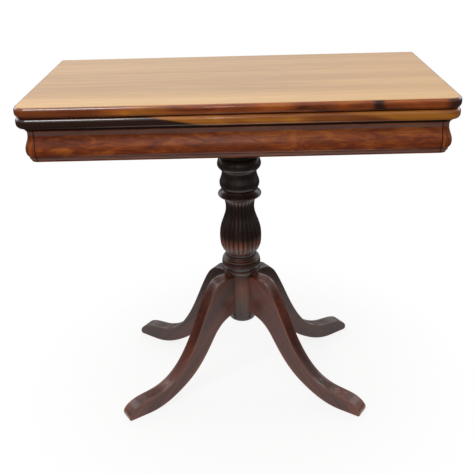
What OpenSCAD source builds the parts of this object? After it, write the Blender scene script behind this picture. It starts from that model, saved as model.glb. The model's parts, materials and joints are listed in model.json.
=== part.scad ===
// Swivel-top games table on a turned pedestal with four sabre legs.
// Origin: on the floor under the middle of the apron frame. +X right, +Y back, +Z up. Millimetres.

/* [Top] */
// Width of the folded top, left to right
top_w = 850; // [780:5:900]
// Depth of the folded top, front to back
top_d = 425; // [400:5:450]
// Height of the top's upper face above the floor
table_h = 762; // [745:1:790]
// Thickness of each of the two leaves
leaf_t = 21; // [18:0.5:24]
// Radius that rounds the leaves' upper and lower edges
leaf_edge_r = 8; // [3:0.5:8.5]
// Radius of the leaves' front corners in plan
leaf_corner_r = 28; // [20:1:40]
// Gap between the folded leaves
leaf_gap = 0.4; // [0.2:0.1:1]

/* [Apron frame] */
// How far the leaves hang over the waist of the apron moulding
overhang = 17; // [12:1:26]
// Height of the apron
apron_h = 68; // [62:1:76]
// Thickness of the apron boards at the waist
apron_t = 16; // [14:1:20]
// How far the apron's swell stands out past its waist
swell = 8; // [4:0.5:10]
// How far the lip under the top stands out past the waist
lip = 4; // [2:0.5:6]
// Radius of the bead along the apron's lower edge
bead_r = 3.4; // [2:0.2:4]
// Side of the triangular glue blocks in the frame's corners
glue_block = 34; // [24:1:44]

/* [Well] */
// Thickness of the well's bottom board
well_board_t = 6; // [4:0.5:9]
// Width of the two bearers under the well
bearer_w = 48; // [36:1:60]
// Thickness of the two bearers under the well
bearer_t = 22; // [18:1:26]
// Distance between the bearers' centre lines
bearer_span = 132; // [110:1:160]
// How deep the bearers and the pivot rail are let into the aprons
housing = 8; // [5:0.5:10]
// Width of the pivot rail
rail_w = 90; // [80:1:110]
// Thickness of the pivot rail
rail_t = 20; // [16:1:22]
// Drop of the pivot rail below the frame's upper edge
rail_drop = 2; // [2:0.5:4]

/* [Glides] */
// Width of the felt glide strips on the frame's upper edge
glide_w = 8; // [5:1:9]
// Thickness of the felt glide strips
glide_t = 2.5; // [1.8:0.1:2.8]
// How far the felt stands above the frame's upper edge
glide_proud = 1.4; // [0.8:0.1:1.4]
// Clearance between the felt and the swivelling leaf
glide_gap = 0.3; // [0.2:0.1:0.6]

/* [Pivot] */
// Diameter of the pivot bolt's shank
bolt_d = 12; // [10:1:16]
// Radial running clearance of the pivot bolt in its bush
bolt_play = 0.06; // [0.03:0.01:0.09]
// Wall of the pivot bush
bush_wall = 3; // [2:0.5:4]
// Diameter of the bush's upper flange
bush_flange_d = 30; // [26:1:34]
// Length of the pivot plate let into the leaf
pivot_plate_w = 80; // [66:1:90]
// Depth of the pivot plate, front to back
pivot_plate_d = 60; // [50:1:70]
// Thickness of the pivot plate
pivot_plate_t = 3; // [2:0.5:4]
// Outer diameter of the washer below the rail
washer_d = 28; // [24:1:34]
// Thickness of the washer below the rail
washer_t = 2; // [1:0.5:3]
// Width across flats of the pivot nut
nut_flats = 19; // [18:1:24]
// Height of the pivot nut
nut_h = 7; // [5:1:8]
// Diameter of the stop peg under the leaf
peg_d = 10; // [8:1:14]
// Length of the stop peg below the leaf
peg_drop = 12; // [8:1:16]
// Depth of the stop peg's hole in the leaf
peg_seat = 12; // [8:1:14]

/* [Hinges] */
// Length of each hinge along the back edge
hinge_len = 64; // [50:2:90]
// Width of each hinge plate from the back edge
hinge_w = 22; // [16:1:28]
// Thickness of the hinge plates
hinge_t = 1.6; // [1.4:0.1:2.2]
// Outer diameter of the hinge knuckles
knuckle_d = 6; // [5.6:0.2:8]
// Diameter of the hinge pin
hinge_pin_d = 2.8; // [2.4:0.1:3]
// Radial running clearance of the hinge pin
pin_play = 0.05; // [0.03:0.01:0.09]
// Distance from the top's ends to the middle of each hinge
hinge_inset = 110; // [80:5:160]
// Distance from the leaves' back edges to the hinge axis
hinge_offset = 0.3; // [0.2:0.1:0.6]

/* [Column] */
// Radius of the hub that the legs join
hub_r = 35; // [32:0.5:38]
// Length of the hub, up to the collar
hub_len = 118; // [112:1:124]
// Radius of the collar above the legs
collar_r = 46.2; // [43:0.2:50]
// Length of the collar
collar_len = 47; // [45:1:52]
// Radius of the vase's widest part
vase_r = 49; // [46:0.2:53]
// Radius of the vase's neck
vase_neck_r = 33.2; // [31:0.2:36]
// Length of the vase
vase_len = 145.5; // [142:0.5:152]
// Number of reeds round the vase
reeds = 26; // [20:1:30]
// Width of the grooves between the reeds
reed_gap = 3; // [2:0.2:3.6]
// Depth of the grooves between the reeds
reed_depth = 2.4; // [1:0.2:3.5]
// Radius of the two rings above the vase
ring_r = 49.6; // [47:0.2:53]
// Radius of the cup between the rings
cup_r = 46; // [44:0.1:47]
// Length of the cup between the rings
cup_len = 48; // [46:1:54]
// Length of the neck between the upper ring and the mounting block
neck_len = 31; // [24:0.5:38]
// Radius of the column's tenon in the mounting block
tenon_r = 19; // [16:1:24]

/* [Mounting block] */
// Width of the block that holds the column, left to right
block_w = 220; // [200:2:260]
// Depth of the block, front to back
block_d = 140; // [120:2:180]
// Thickness of the block
block_t = 34; // [28:1:38]

/* [Legs] */
// Angle between each leg and the table's long axis
leg_angle = 33.7; // [30:0.1:38]
// Thickness of the legs
leg_t = 33; // [28:1:36]
// Distance from the column's axis to the toe tips
leg_reach = 336; // [310:1:350]
// Depth of the dovetail tongue that joins a leg to the hub
dovetail_depth = 14; // [10:1:16]
// Width of the dovetail tongue at the hub's surface
dovetail_neck = 12; // [10:1:14]
// Width of the dovetail tongue at its widest
dovetail_head = 18; // [15:1:20]
// Height of the turned cap under the hub
cap_h = 18; // [12:1:22]
// Radius of the turned cap under the hub
cap_r = 33.5; // [30:0.5:35]

/* [Fits] */
// Clearance round screws and pegs in their holes
screw_fit = 0.1; // [0.05:0.05:0.2]
// Clearance of a joint that is glued or let in
glue_fit = 0.05; // [0:0.05:0.1]

/* [Screws] */
// Radius of the heavy screws' shanks
screw_r = 2.6; // [2:0.1:3]
// Radius of the heavy screws' heads
screw_head_r = 5.2; // [4.4:0.1:6]
// Radius of the small hinge and plate screws' shanks
small_screw_r = 1.4; // [1.1:0.1:1.6]
// Radius of the small hinge and plate screws' heads
small_head_r = 2.7; // [2.4:0.1:3]
// Length of the small screws
small_screw_len = 12; // [8:1:14]

/* [Hidden] */
$fn = 64;

// Colours
polished_top = [0.78, 0.58, 0.36];
mahogany = [0.42, 0.22, 0.13];
dark_mahogany = [0.27, 0.15, 0.12];
bare_wood = [0.66, 0.52, 0.36];
brass = [0.80, 0.64, 0.30];
steel = [0.55, 0.56, 0.58];
felt = [0.16, 0.30, 0.20];

// Heights
upper_z = table_h - leaf_t;
lower_z = upper_z - leaf_gap - leaf_t;
frame_z1 = lower_z - glide_gap - glide_proud;
frame_z0 = frame_z1 - apron_h;
rail_z1 = frame_z1 - rail_drop;
rail_z0 = rail_z1 - rail_t;
well_z0 = frame_z0 + bearer_t;
well_z1 = well_z0 + well_board_t;
block_z0 = frame_z0 - block_t;
lower_ring_len = 17.5;
upper_ring_len = 28.9;
cup_z1 = block_z0 - neck_len - upper_ring_len;
cup_z0 = cup_z1 - cup_len;
vase_z1 = cup_z0 - lower_ring_len;
vase_z0 = vase_z1 - vase_len;
hub_top = vase_z0 - collar_len;
hub_z = hub_top - hub_len;
leg_top = hub_top - 9;

// Plan of the frame
waist_x = top_w / 2 - overhang;
waist_y = top_d / 2 - overhang;
inner_x = waist_x - apron_t;
inner_y = waist_y - apron_t;
pivot_x = top_d / 4;
pivot_y = top_d / 4;

// Hinge axis
hinge_y = top_d / 2 + hinge_offset;
hinge_z = upper_z - leaf_gap / 2;
hinge_x = top_w / 2 - hinge_inset;
knuckle_r = knuckle_d / 2;
knuckles = 5;
knuckle_gap = 0.3;
knuckle_len = hinge_len / knuckles;

// Points along a cubic curve from a to d
function curve(a, b, c, d, n = 10) =
    [for (i = [0 : n]) let (t = i / n, u = 1 - t)
        u * u * u * a + 3 * u * u * t * b + 3 * u * t * t * c + t * t * t * d];

// Points along an arc about c, from angle a0 to a1
function arc(c, r, a0, a1, n = 10) =
    [for (i = [0 : n]) let (a = a0 + (a1 - a0) * i / n) c + r * [cos(a), sin(a)]];

// Outer face of the apron moulding, upwards: distance out from the waist, height above the apron's lower edge
waist_h = apron_h - 14;
swell_h = 22;
quirk_h = 11;
bead_c = [-1, quirk_h - 0.4 - bead_r];
function moulding() = concat(
    [[-1.6, 0]],
    arc(bead_c, bead_r, -80, 80, 8),
    [[0.6, quirk_h - 0.4]],
    curve([swell * 0.5, quirk_h], [swell * 0.85, quirk_h + 2.5], [swell, swell_h - 5], [swell, swell_h], 6),
    curve([swell, swell_h], [swell, swell_h + 12], [0, waist_h - 13], [0, waist_h], 10),
    curve([0, waist_h], [0, apron_h - 8], [lip * 0.3, apron_h - 5.5], [lip, apron_h - 4], 6),
    [[lip, apron_h]]
);

module moulding_section() polygon(concat([[-apron_t, 0]], moulding(), [[-apron_t, apron_h]]));

// Screw with its head's flat face at the origin and its shank down -Z
module screw(len, r, head_r) {
    difference() {
        union() {
            translate([0, 0, -(head_r - r)]) cylinder(h = head_r - r, r1 = r, r2 = head_r);
            translate([0, 0, -len + 2 * r]) cylinder(h = len - 2 * r - (head_r - r) + 0.01, r = r);
            translate([0, 0, -len]) cylinder(h = 2 * r + 0.01, r1 = 0.3, r2 = r);
        }
        translate([-head_r - 1, -0.4, -0.8]) cube([2 * head_r + 2, 0.8, 1.8]);
    }
}

module screw_hole(len, r, head_r) {
    f = screw_fit;
    translate([0, 0, -(head_r - r)]) cylinder(h = head_r - r + f, r1 = r + f, r2 = head_r + 2 * f);
    translate([0, 0, -len - 1]) cylinder(h = len + 1, r = r + f);
    translate([0, 0, f - 0.01]) cylinder(h = 1, r = head_r + 2 * f);
}

// Apron frame

module straight_moulding(len) rotate([90, 0, 0]) linear_extrude(height = len, center = true) moulding_section();

// Housings for the rail, open at the top, and for the bearers, open at the bottom
module housings(side) {
    depth = housing + glue_fit;
    y0 = side > 0 ? inner_y - 1 : -inner_y - depth;
    translate([pivot_x - rail_w / 2 - glue_fit, y0, rail_z0 - glue_fit])
        cube([rail_w + 2 * glue_fit, depth + 1, rail_t + rail_drop + 2]);
    for (s = [-1, 1])
        translate([s * bearer_span / 2 - bearer_w / 2 - glue_fit, y0, frame_z0 - 1])
            cube([bearer_w + 2 * glue_fit, depth + 1, bearer_t + 1 + glue_fit]);
}

// Felt strips along the four edges of the frame, grown by fit for their grooves
glide_edge = 2;
glide_end = 12;
glide_z0 = frame_z1 + glide_proud - glide_t;
glide_in = glide_edge + glide_w / 2;
glide_x = waist_x + lip - glide_in;
module glide_strips_shape(fit) {
    long = 2 * (inner_x - glide_end + fit);
    short = 2 * (inner_y - glide_end + fit);
    w = glide_w + 2 * fit;
    for (y = [-waist_y - lip + glide_in, waist_y - glide_in])
        translate([-long / 2, y - w / 2, glide_z0]) cube([long, w, glide_t]);
    for (x = [-glide_x, glide_x])
        translate([x - w / 2, -short / 2, glide_z0]) cube([w, short, glide_t]);
}

module front_apron() color(mahogany) difference() {
    translate([0, -waist_y, frame_z0]) rotate([0, 0, -90]) straight_moulding(2 * inner_x);
    housings(-1);
    glide_strips_shape(glue_fit);
}

module back_apron() color(bare_wood) difference() {
    translate([-inner_x, inner_y, frame_z0]) cube([2 * inner_x, apron_t, apron_h]);
    housings(1);
    glide_strips_shape(glue_fit);
}

side_len = waist_y + inner_y;
module side_apron(side) color(mahogany) difference() {
    translate([side * waist_x, apron_t / 2, frame_z0])
        rotate([0, 0, side > 0 ? 0 : 180]) straight_moulding(side_len);
    glide_strips_shape(glue_fit);
}
module left_apron() side_apron(-1);
module right_apron() side_apron(1);

// Quarter-round corner turned to the same moulding
module front_corner(side) color(dark_mahogany)
    translate([side * inner_x, -inner_y, frame_z0])
        rotate([0, 0, side > 0 ? -90 : 180])
            rotate_extrude(angle = 90)
                polygon(concat([[0, 0]], [for (p = moulding()) p + [apron_t, 0]], [[0, apron_h]]));
module front_left_corner() front_corner(-1);
module front_right_corner() front_corner(1);

glue_block_h = frame_z1 - well_z1 - 6;
module glue_blocks() color(bare_wood)
    for (sx = [-1, 1], sy = [-1, 1])
        translate([sx * inner_x, sy * inner_y, well_z1])
            linear_extrude(height = glue_block_h)
                polygon([[0, 0], [-sx * glue_block, 0], [0, -sy * glue_block]]);

module glide_strips() color(felt) glide_strips_shape(0);

bush_r = bolt_d / 2 + bolt_play + bush_wall;
module pivot_rail() color(bare_wood) difference() {
    translate([pivot_x - rail_w / 2, -inner_y - housing, rail_z0])
        cube([rail_w, 2 * (inner_y + housing), rail_t]);
    translate([pivot_x, pivot_y, rail_z0 - 1]) cylinder(h = rail_t + 2, r = bush_r + glue_fit);
}

flange_t = lower_z - glide_gap - rail_z1;
module pivot_bush() color(brass) translate([pivot_x, pivot_y, 0]) difference() {
    union() {
        translate([0, 0, rail_z0]) cylinder(h = rail_t + flange_t, r = bush_r);
        translate([0, 0, rail_z1]) cylinder(h = flange_t, r = bush_flange_d / 2);
    }
    translate([0, 0, rail_z0 - 1]) cylinder(h = rail_t + flange_t + 2, r = bolt_d / 2 + bolt_play);
}

// Wood left past the points of the screws, and their distance from an edge
screw_cover = 5;
screw_edge = 24;

// Screws up through the mounting block into the bearers
block_screw_len = block_t + bearer_t - screw_cover;
block_screw_y = block_d / 2 - screw_edge;
module block_screw_places()
    for (sx = [-1, 1], sy = [-1, 1])
        translate([sx * bearer_span / 2, sy * block_screw_y, block_z0]) rotate([180, 0, 0]) children();

// Screws down through the well's board into the bearers
well_screw_len = well_board_t + bearer_t - screw_cover;
well_screw_y = inner_y - screw_edge;
module well_screw_places()
    for (sx = [-1, 1], sy = [-1, 1])
        translate([sx * bearer_span / 2, sy * well_screw_y, well_z1]) children();

module bearer(side) color(bare_wood) difference() {
    translate([side * bearer_span / 2 - bearer_w / 2, -inner_y - housing, frame_z0])
        cube([bearer_w, 2 * (inner_y + housing), bearer_t]);
    block_screw_places() screw_hole(block_screw_len, screw_r, screw_head_r);
    well_screw_places() screw_hole(well_screw_len, screw_r, screw_head_r);
}
module left_bearer() bearer(-1);
module right_bearer() bearer(1);

board_fit = 0.3;
module well_board() color(bare_wood) difference() {
    translate([-inner_x + board_fit, -inner_y + board_fit, well_z0])
        cube([2 * (inner_x - board_fit), 2 * (inner_y - board_fit), well_board_t]);
    well_screw_places() screw_hole(well_screw_len, screw_r, screw_head_r);
}

ledge_w = 18;
module well_ledges() color(bare_wood)
    for (s = [-1, 1])
        translate([s * (inner_x - ledge_w / 2) - ledge_w / 2, -inner_y, well_z0 - ledge_w])
            cube([ledge_w, 2 * inner_y, ledge_w]);

module well_screws() color(brass) well_screw_places() screw(well_screw_len, screw_r, screw_head_r);
module block_screws() color(steel) block_screw_places() screw(block_screw_len, screw_r, screw_head_r);

chamfer = 8;
module mounting_block() color(dark_mahogany) difference() {
    translate([0, 0, block_z0]) linear_extrude(height = block_t) polygon([
        [-block_w / 2 + chamfer, -block_d / 2], [block_w / 2 - chamfer, -block_d / 2],
        [block_w / 2, -block_d / 2 + chamfer], [block_w / 2, block_d / 2 - chamfer],
        [block_w / 2 - chamfer, block_d / 2], [-block_w / 2 + chamfer, block_d / 2],
        [-block_w / 2, block_d / 2 - chamfer], [-block_w / 2, -block_d / 2 + chamfer]
    ]);
    translate([0, 0, block_z0 - 1]) cylinder(h = block_t + 2, r = tenon_r + glue_fit);
    block_screw_places() screw_hole(block_screw_len, screw_r, screw_head_r);
}

// Turned column: outline from the hub's lower end up to the mounting block

function collar() = concat(
    [[hub_r, hub_top], [collar_r - 4.2, hub_top]],
    curve([collar_r - 2.6, hub_top + 2], [collar_r - 0.6, hub_top + 4],
        [collar_r - 0.2, hub_top + 10], [collar_r - 1.4, hub_top + 11.6], 4),
    [[collar_r - 1.8, hub_top + 13.2]],
    curve([collar_r - 1.6, hub_top + 13.8], [collar_r + 0.1, hub_top + 17],
        [collar_r + 0.1, hub_top + 26.4], [collar_r - 1.2, hub_top + 29], 5),
    [
        [collar_r - 2.1, hub_top + 30],
        [collar_r - 2.2, hub_top + 31],
        [collar_r - 4, hub_top + 33.6],
        [collar_r - 5.6, hub_top + 34.4],
        [collar_r - 6.2, hub_top + 36.4],
        [collar_r - 8.4, hub_top + 38],
        [collar_r - 8.4, hub_top + 40.4]
    ]
);
function vase_foot() = curve(
    [vase_r - 12.4, vase_z0 - 4.2], [vase_r - 13.1, vase_z0 - 1],
    [vase_r - 12.8, vase_z0 + 3], [vase_r - 10.4, vase_z0 + 6], 4);
function vase_body() = concat(
    curve([vase_r - 10.4, vase_z0 + 6], [vase_r - 5.4, vase_z0 + 11.5],
        [vase_r - 1.9, vase_z0 + 19], [vase_r - 0.9, vase_z0 + 29], 5),
    curve([vase_r - 0.9, vase_z0 + 29], [vase_r - 0.3, vase_z0 + 34],
        [vase_r + 0.1, vase_z0 + 41], [vase_r, vase_z0 + 48], 3),
    curve([vase_r, vase_z0 + 48], [vase_r - 0.4, vase_z0 + 63],
        [vase_neck_r + 11.4, vase_z0 + 75], [vase_neck_r + 6.2, vase_z0 + 89], 6),
    curve([vase_neck_r + 6.2, vase_z0 + 89], [vase_neck_r + 2.5, vase_z0 + 99],
        [vase_neck_r, vase_z1 - 38.5], [vase_neck_r, vase_z1 - 27.5], 4),
    curve([vase_neck_r, vase_z1 - 27.5], [vase_neck_r, vase_z1 - 17.5],
        [vase_neck_r + 1.8, vase_z1 - 8.5], [vase_neck_r + 5.8, vase_z1 - 3], 5)
);

// Section of the groove between two reeds: it runs out at 45 degrees below and under the lower ring above
groove_out = 9;
groove_end = [1, 1.4];
function groove_section() =
    let (
        body = vase_body(),
        floor = [for (i = [2 : len(body) - 2]) body[i] - [reed_depth, 0]],
        top = floor[len(floor) - 1] + groove_end
    )
    concat(
        [[vase_r + groove_out, floor[0][1] - groove_out], floor[0] + [groove_out, -groove_out]],
        floor,
        [top, [vase_r + groove_out, top[1] + groove_end[0]]]
    );

// The rings and the cup above the vase
neck_r = 38;
function rings() = concat(
    curve([vase_neck_r + 5.8, vase_z1 - 3], [vase_neck_r + 8.2, vase_z1 - 1.4],
        [ring_r - 6, vase_z1 - 0.2], [ring_r - 3, vase_z1 + 1.4], 3),
    curve([ring_r - 3, vase_z1 + 1.4], [ring_r, vase_z1 + 2.2],
        [ring_r + 1.2, vase_z1 + 4], [ring_r + 0.5, vase_z1 + 6], 4),
    curve([ring_r + 0.5, vase_z1 + 6], [ring_r - 0.8, vase_z1 + 8.4],
        [ring_r - 6, vase_z1 + 11.6], [ring_r - 9, cup_z0 - 1.5], 5),
    [[ring_r - 9.4, cup_z0 - 0.5], [ring_r - 9.4, cup_z0 + 0.5]],
    curve([cup_r - 5, cup_z0 + 1.2], [cup_r - 1.8, cup_z0 + 5],
        [cup_r + 0.8, cup_z0 + 12], [cup_r - 0.7, cup_z0 + 19], 5),
    curve([cup_r - 0.7, cup_z0 + 19], [cup_r - 2.4, cup_z0 + 26],
        [cup_r - 6.4, cup_z1 - 15], [cup_r - 6.4, cup_z1 - 6], 5),
    curve([cup_r - 6.4, cup_z1 - 6], [cup_r - 6.4, cup_z1 - 2],
        [cup_r - 5, cup_z1 - 0.4], [cup_r - 2.2, cup_z1 + 1.3], 3),
    curve([cup_r - 2.2, cup_z1 + 1.3], [ring_r - 2.2, cup_z1 + 3.8],
        [ring_r + 0.6, cup_z1 + 8], [ring_r + 0.3, cup_z1 + 12.6], 5),
    curve([ring_r + 0.3, cup_z1 + 12.6], [ring_r - 0.2, cup_z1 + 18],
        [ring_r - 2.4, cup_z1 + 24], [ring_r - 5.2, cup_z1 + 27.4], 5)
);
function neck() = concat(
    [[neck_r, cup_z1 + upper_ring_len]],
    curve([neck_r, block_z0 - 14], [neck_r, block_z0 - 8],
        [neck_r + 4, block_z0 - 4], [neck_r + 10, block_z0 - 3], 5),
    [[neck_r + 10, block_z0]]
);

// Plan of a leg's dovetail tongue, grown by fit for its slot in the hub
module dovetail(fit) {
    flare = (dovetail_head - dovetail_neck) / 2 / dovetail_depth;
    out = hub_r + 4;
    neck_half = dovetail_neck / 2 + fit - flare * 4;
    head_half = dovetail_head / 2 + fit;
    inner = hub_r - dovetail_depth - fit;
    polygon([[inner, -head_half], [out, -neck_half], [out, neck_half], [inner, head_half]]);
}

leg_turns = [180 + leg_angle, -leg_angle, 180 - leg_angle, leg_angle];

wedge_t = 2.4;
wedge_len = 26;
module column() color(dark_mahogany) difference() {
    union() {
        rotate_extrude() polygon(concat(
            [[0, hub_z], [hub_r, hub_z]], collar(), vase_foot(), vase_body(), rings(), neck(),
            [[0, block_z0]]
        ));
        translate([0, 0, block_z0 - 1]) cylinder(h = block_t + 1, r = tenon_r);
    }
    for (a = leg_turns)
        rotate([0, 0, a]) translate([0, 0, hub_z - 1])
            linear_extrude(height = leg_top - hub_z + 1 + glue_fit) dovetail(glue_fit);
    for (i = [0 : reeds - 1])
        rotate([0, 0, (i + 0.5) * 360 / reeds]) rotate([90, 0, 0])
            linear_extrude(height = reed_gap, center = true) polygon(groove_section());
    translate([-wedge_t / 2 - glue_fit, -tenon_r - 1, frame_z0 - wedge_len - glue_fit])
        cube([wedge_t + 2 * glue_fit, 2 * tenon_r + 2, wedge_len + 1]);
    cap_screw_place() screw_hole(cap_screw_len, screw_r, screw_head_r);
}

module tenon_wedge() color(bare_wood) intersection() {
    translate([-wedge_t / 2, -tenon_r, frame_z0 - wedge_len]) cube([wedge_t, 2 * tenon_r, wedge_len]);
    translate([0, 0, frame_z0 - wedge_len]) cylinder(h = wedge_len, r = tenon_r);
}

cap_screw_len = cap_h + 30;
module cap_screw_place() translate([0, 0, hub_z - cap_h]) rotate([180, 0, 0]) children();
module column_cap() color(dark_mahogany) difference() {
    rotate_extrude() polygon(concat(
        [[0, hub_z - cap_h]],
        arc([cap_r - 7, hub_z - cap_h + 7], 7, -90, 0, 6),
        [[cap_r, hub_z], [0, hub_z]]
    ));
    cap_screw_place() screw_hole(cap_screw_len, screw_r, screw_head_r);
}
module cap_screw() color(brass) cap_screw_place() screw(cap_screw_len, screw_r, screw_head_r);

// Side view of a leg: distance from the column's axis, height. The bends keep their share of the leg's height
knee = [hub_r + 57, leg_top - 26];
shin = [leg_reach - 160, 0.339 * leg_top];
instep = [leg_reach - 73, 41];
toe = [leg_reach - 22, 32];
sole_front = leg_reach - 5;
sole_back = leg_reach - 52;
calf = [leg_reach - 166, 0.159 * leg_top];
arch = [hub_r + 63, 0.4706 * leg_top];
root_z = hub_z + 10;
function leg_outline() = concat(
    [[hub_r - 3, leg_top]],
    curve([hub_r + 22, leg_top - 0.5], knee + [-20, 25], knee + [-10, 17], knee, 7),
    curve(knee, knee + [28, -50], shin + [-38, 52], shin, 9),
    curve(shin, shin + [21, -29], instep + [-38, 5], instep, 7),
    curve(instep, instep + [19, -2.5], toe + [-14, 6], toe, 4),
    curve(toe, toe + [12, -5.5], [leg_reach - 3, 20], [leg_reach, 12], 4),
    curve([leg_reach, 12], [leg_reach + 1, 6], [leg_reach, 0], [sole_front, 0], 3),
    curve([sole_back, 0], [sole_back - 40, 0], calf + [38, -28], calf, 9),
    curve(calf, calf + [-33, 26], arch + [19, -32], arch, 8),
    curve(arch, arch + [-14, 24], [hub_r + 31, root_z - 6], [hub_r - 3, root_z], 7)
);

// A leg, its tongue in the hub, and the tongue's root that joins the two across the glue line
module leg(turn) color(dark_mahogany) rotate([0, 0, turn]) {
    difference() {
        rotate([90, 0, 0]) linear_extrude(height = leg_t, center = true) polygon(leg_outline());
        translate([0, 0, hub_z]) cylinder(h = hub_len, r = hub_r + glue_fit);
    }
    intersection() {
        translate([0, 0, hub_z]) linear_extrude(height = leg_top - hub_z) dovetail(0);
        cylinder(h = leg_top, r = hub_r);
    }
    intersection() {
        translate([0, 0, root_z + 6]) linear_extrude(height = leg_top - root_z - 10) dovetail(0);
        difference() {
            cylinder(h = leg_top, r = hub_r + 3);
            translate([0, 0, -1]) cylinder(h = leg_top + 2, r = hub_r - 1);
        }
    }
}
module front_left_leg() leg(leg_turns[0]);
module front_right_leg() leg(leg_turns[1]);
module back_left_leg() leg(leg_turns[2]);
module back_right_leg() leg(leg_turns[3]);

// Leaves of the top

// Section through a leaf's rounded edge, from x = 0 out to x = len
module edge_section(len) {
    r = leaf_edge_r;
    square([len - r, leaf_t]);
    translate([0, r]) square([len, leaf_t - 2 * r]);
    for (y = [r, leaf_t - r]) translate([len - r, y]) circle(r = r);
}

// A leaf standing on z = 0, square at the back and rounded at the front and ends
leaf_cx = top_w / 2 - leaf_corner_r;
leaf_cy = top_d / 2 - leaf_corner_r;
module leaf_blank() {
    translate([-leaf_cx, 0, 0]) rotate([90, 0, 90]) linear_extrude(height = 2 * leaf_cx)
        translate([top_d / 2, 0]) mirror([1, 0]) edge_section(top_d);
    for (side = [0, 1]) mirror([side, 0, 0]) {
        translate([leaf_cx, top_d / 2, 0]) rotate([90, 0, 0])
            linear_extrude(height = top_d / 2 + leaf_cy) edge_section(leaf_corner_r);
        translate([leaf_cx, -leaf_cy, 0]) rotate([0, 0, -90])
            rotate_extrude(angle = 90) edge_section(leaf_corner_r);
    }
}

// Places of the two hinges, on the hinge axis
module hinge_places() for (s = [-1, 1]) translate([s * hinge_x, hinge_y, hinge_z]) children();

// Screws of one hinge plate that lies below the axis
hinge_screw_y = -hinge_offset - hinge_w * 0.6;
hinge_screw_pitch = hinge_len / 2 - 9;
module hinge_screw_places()
    for (i = [-1, 0, 1])
        translate([i * hinge_screw_pitch, hinge_screw_y, -leaf_gap / 2]) children();

// Plate that lies below the axis, with knuckles from the first one on, every second place
module hinge_plate(first) {
    near = knuckle_r + 0.4;
    plate_z = -leaf_gap / 2 - hinge_t;
    difference() {
        union() {
            translate([-hinge_len / 2, -hinge_offset - hinge_w, plate_z])
                cube([hinge_len, hinge_offset + hinge_w - near, hinge_t]);
            for (i = [first : 2 : knuckles - 1])
                translate([-hinge_len / 2 + i * knuckle_len + knuckle_gap / 2, 0, 0]) {
                    translate([0, -near - 1, plate_z]) cube([knuckle_len - knuckle_gap, near + 1, hinge_t]);
                    rotate([0, 90, 0]) cylinder(h = knuckle_len - knuckle_gap, r = knuckle_r);
                }
        }
        translate([-hinge_len / 2 - 1, 0, 0]) rotate([0, 90, 0])
            cylinder(h = hinge_len + 2, r = hinge_pin_d / 2 + pin_play);
        hinge_screw_places() screw_hole(small_screw_len, small_screw_r, small_head_r);
    }
}

// Room for a hinge in the leaf below the axis
module hinge_recess() {
    f = glue_fit;
    notch = knuckle_r + 0.5;
    translate([-hinge_len / 2 - f, -hinge_offset - hinge_w - f, -leaf_gap / 2 - hinge_t - f])
        cube([hinge_len + 2 * f, hinge_w + hinge_offset + 2, hinge_t + leaf_gap + 2]);
    translate([-hinge_len / 2 - 0.5, 0, 0]) rotate([0, 90, 0]) cylinder(h = hinge_len + 1, r = notch);
    hinge_screw_places() screw_hole(small_screw_len, small_screw_r, small_head_r);
}

module upside_down() mirror([0, 0, 1]) children();

// Pivot plate and its screws, let into the lower leaf from below
plate_screw_x = pivot_plate_w / 2 - 9;
plate_screw_y = pivot_plate_d / 2 - 9;
module plate_screw_places()
    for (sx = [-1, 1], sy = [-1, 1])
        translate([pivot_x + sx * plate_screw_x, pivot_y + sy * plate_screw_y, lower_z])
            rotate([180, 0, 0]) children();

bolt_head_r = bolt_d / 2 + 4;
bolt_head_h = 3;
nut_play = 0.2;
washer_z1 = rail_z0 - nut_play;
nut_z1 = washer_z1 - washer_t;
bolt_z0 = nut_z1 - nut_h - 3;

// The peg meets one side of the pivot rail at each end of the quarter turn
stop_gap = 0.3;
peg_reach = (rail_w / 2 + peg_d / 2 + stop_gap) / cos(45);
module peg_place() translate([pivot_x - peg_reach * cos(45), pivot_y + peg_reach * sin(45), 0]) children();

module lower_leaf() color(mahogany) difference() {
    translate([0, 0, lower_z]) leaf_blank();
    translate([pivot_x - pivot_plate_w / 2 - glue_fit, pivot_y - pivot_plate_d / 2 - glue_fit, lower_z - 1])
        cube([pivot_plate_w + 2 * glue_fit, pivot_plate_d + 2 * glue_fit, pivot_plate_t + glue_fit + 1]);
    translate([pivot_x, pivot_y, lower_z])
        cylinder(h = pivot_plate_t + bolt_head_h + 2 * glue_fit, r = bolt_head_r + 2 * glue_fit);
    plate_screw_places() screw_hole(small_screw_len, small_screw_r, small_head_r);
    peg_place() translate([0, 0, lower_z - 1]) cylinder(h = peg_seat + 1 + glue_fit, r = peg_d / 2 + glue_fit);
    hinge_places() hinge_recess();
}

module pivot_plate() color(steel) difference() {
    translate([pivot_x - pivot_plate_w / 2, pivot_y - pivot_plate_d / 2, lower_z])
        cube([pivot_plate_w, pivot_plate_d, pivot_plate_t]);
    translate([pivot_x, pivot_y, lower_z - 1]) cylinder(h = pivot_plate_t + 2, r = bolt_d / 2 + glue_fit);
    plate_screw_places() screw_hole(small_screw_len, small_screw_r, small_head_r);
}
module plate_screws() color(steel) plate_screw_places() screw(small_screw_len, small_screw_r, small_head_r);

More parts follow.
